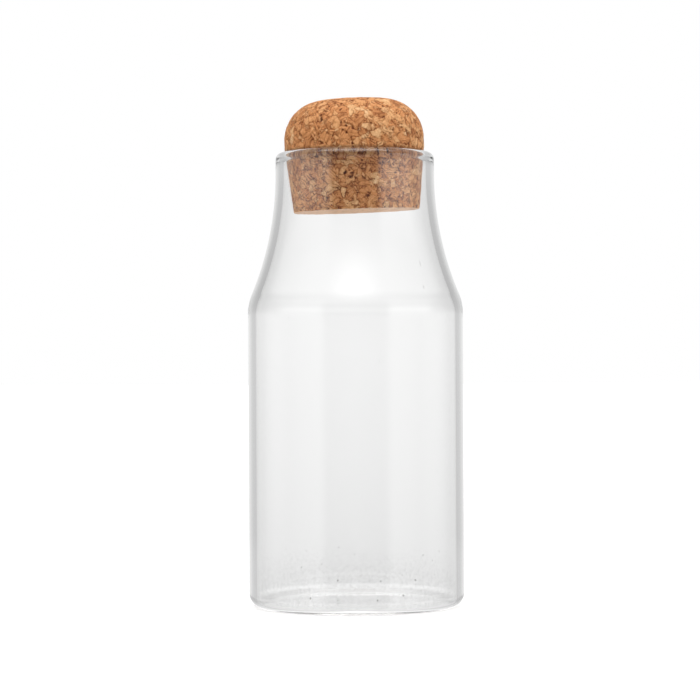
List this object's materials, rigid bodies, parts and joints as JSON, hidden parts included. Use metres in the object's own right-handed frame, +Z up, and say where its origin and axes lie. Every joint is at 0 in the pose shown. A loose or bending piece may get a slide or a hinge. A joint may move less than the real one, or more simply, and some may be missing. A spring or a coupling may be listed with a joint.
{
  "type": "glass jar with cork lid",
  "caption": "Straight clear glass storage jar with a flared shoulder and narrower neck, closed by a push-in stopper of granulated cork with a domed head.",
  "frame": {"origin": "on the jar's axis, in the plane of the foot ring that the jar stands on", "axes": "+Z up the jar's axis from the foot to the mouth; -Y faces the picture's camera, and +X is to its right"},
  "size_m": [0.08, 0.08, 0.1892],
  "materials": {
    "clear_glass": "polished",
    "granulated_cork": "matte"
  },
  "bodies": {
    "jar": {"glass_jar": "clear_glass"},
    "stopper": {"cork_stopper": "granulated_cork"}
  },
  "joints": [
    {"name": "stopper_lift", "type": "slide", "parent": "jar", "child": "stopper", "axis": [-0.0332, -0.0155, 0.9993], "range_m": [0, 0.1]}
  ]
}
